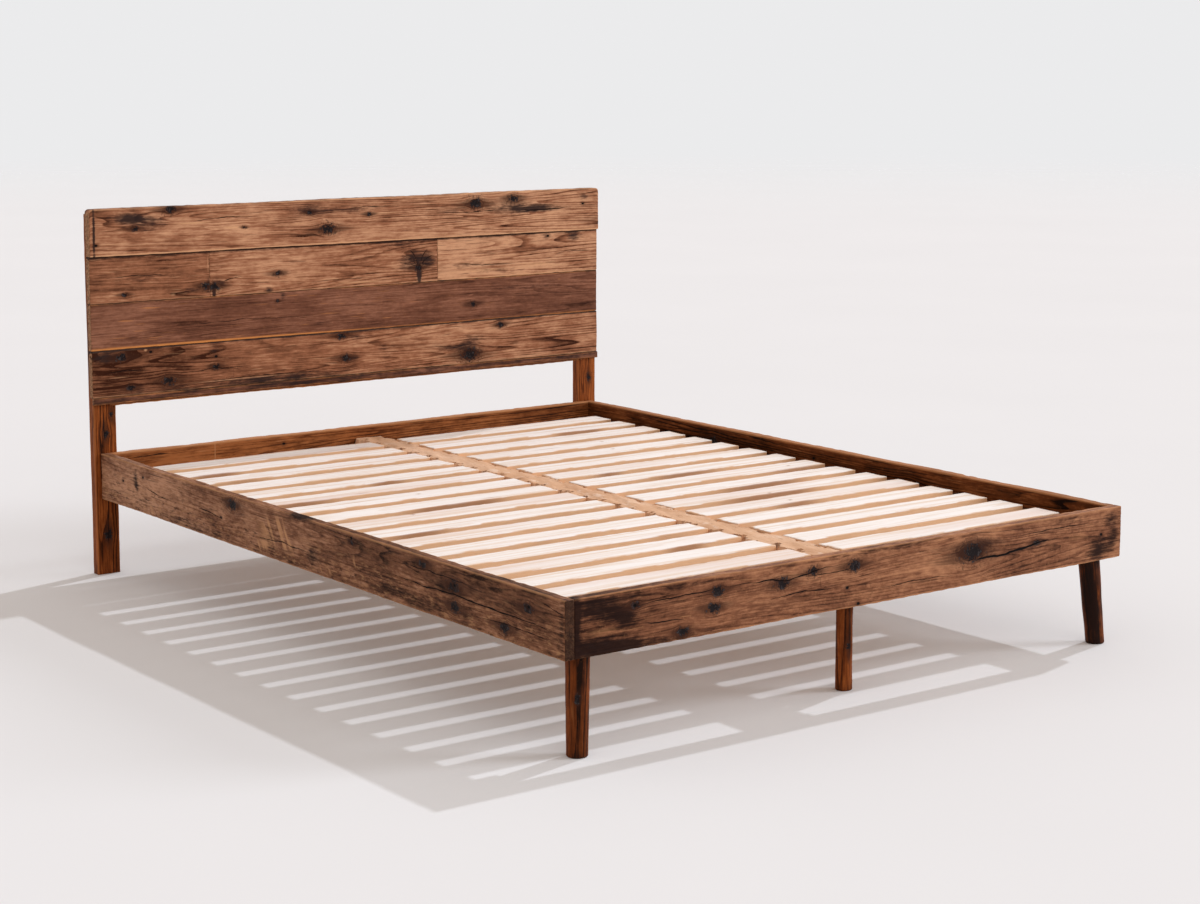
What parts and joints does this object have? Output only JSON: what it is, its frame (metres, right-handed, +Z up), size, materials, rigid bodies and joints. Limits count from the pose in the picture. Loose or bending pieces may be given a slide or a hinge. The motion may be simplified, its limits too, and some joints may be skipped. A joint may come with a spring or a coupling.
{
  "type": "wooden bed",
  "caption": "Low rustic platform bed of reclaimed boards with a planked headboard on flat posts, round splayed front legs, a centre beam and pale pine slats that carry a mattress.",
  "frame": {"origin": "on the floor under the middle of the whole bed", "axes": "+X to the right as seen from the foot, +Y from the foot to the headboard, +Z up"},
  "size_m": [1.66, 2.137, 0.978],
  "materials": {
    "headboard_boards": "stained satin reclaimed board with dark grain and knots",
    "dark_board": "dark stained satin board",
    "weathered_rail": "weathered grey-brown board with saw marks",
    "rail_boards": "stained satin reclaimed board with cracks and knots",
    "post_wood": "deep red-brown stained satin wood",
    "hidden_wood": "plain sawn wood",
    "beam_wood": "rough sawn tan wood",
    "slat_pine": "pale unfinished pine",
    "steel": "zinc plated steel"
  },
  "bodies": {
    "root": {"headboard_top_plank": "headboard_boards", "headboard_plank_2_left": "headboard_boards", "headboard_plank_2_middle": "headboard_boards", "headboard_plank_2_right": "headboard_boards", "headboard_plank_4": "headboard_boards", "headboard_plank_3": "dark_board", "headboard_base_strip": "dark_board", "headboard_lower_rail": "dark_board", "left_side_rail": "weathered_rail", "right_side_rail": "rail_boards", "foot_rail": "rail_boards", "head_rail": "rail_boards", "left_post": "post_wood", "right_post": "post_wood", "front_left_leg": "post_wood", "front_right_leg": "post_wood", "centre_leg": "post_wood", "left_ledger": "hidden_wood", "right_ledger": "hidden_wood", "corner_blocks": "hidden_wood", "headboard_battens": "hidden_wood", "slat_dowels": "hidden_wood", "centre_beam": "beam_wood", "slat_left_01": "slat_pine", "slat_left_02": "slat_pine", "slat_left_03": "slat_pine", "slat_left_04": "slat_pine", "slat_left_05": "slat_pine", "slat_left_06": "slat_pine", "slat_left_07": "slat_pine", "slat_left_08": "slat_pine", "slat_left_09": "slat_pine", "slat_left_10": "slat_pine", "slat_left_11": "slat_pine", "slat_left_12": "slat_pine", "slat_left_13": "slat_pine", "slat_left_14": "slat_pine", "slat_left_15": "slat_pine", "slat_left_16": "slat_pine", "slat_right_01": "slat_pine", "slat_right_02": "slat_pine", "slat_right_03": "slat_pine", "slat_right_04": "slat_pine", "slat_right_05": "slat_pine", "slat_right_06": "slat_pine", "slat_right_07": "slat_pine", "slat_right_08": "slat_pine", "slat_right_09": "slat_pine", "slat_right_10": "slat_pine", "slat_right_11": "slat_pine", "slat_right_12": "slat_pine", "slat_right_13": "slat_pine", "slat_right_14": "slat_pine", "slat_right_15": "slat_pine", "slat_right_16": "slat_pine", "beam_hangers": "steel", "bed_bolts": "steel", "barrel_nuts": "steel", "leg_bolts": "steel", "wood_screws": "steel"}
  },
  "joints": []
}
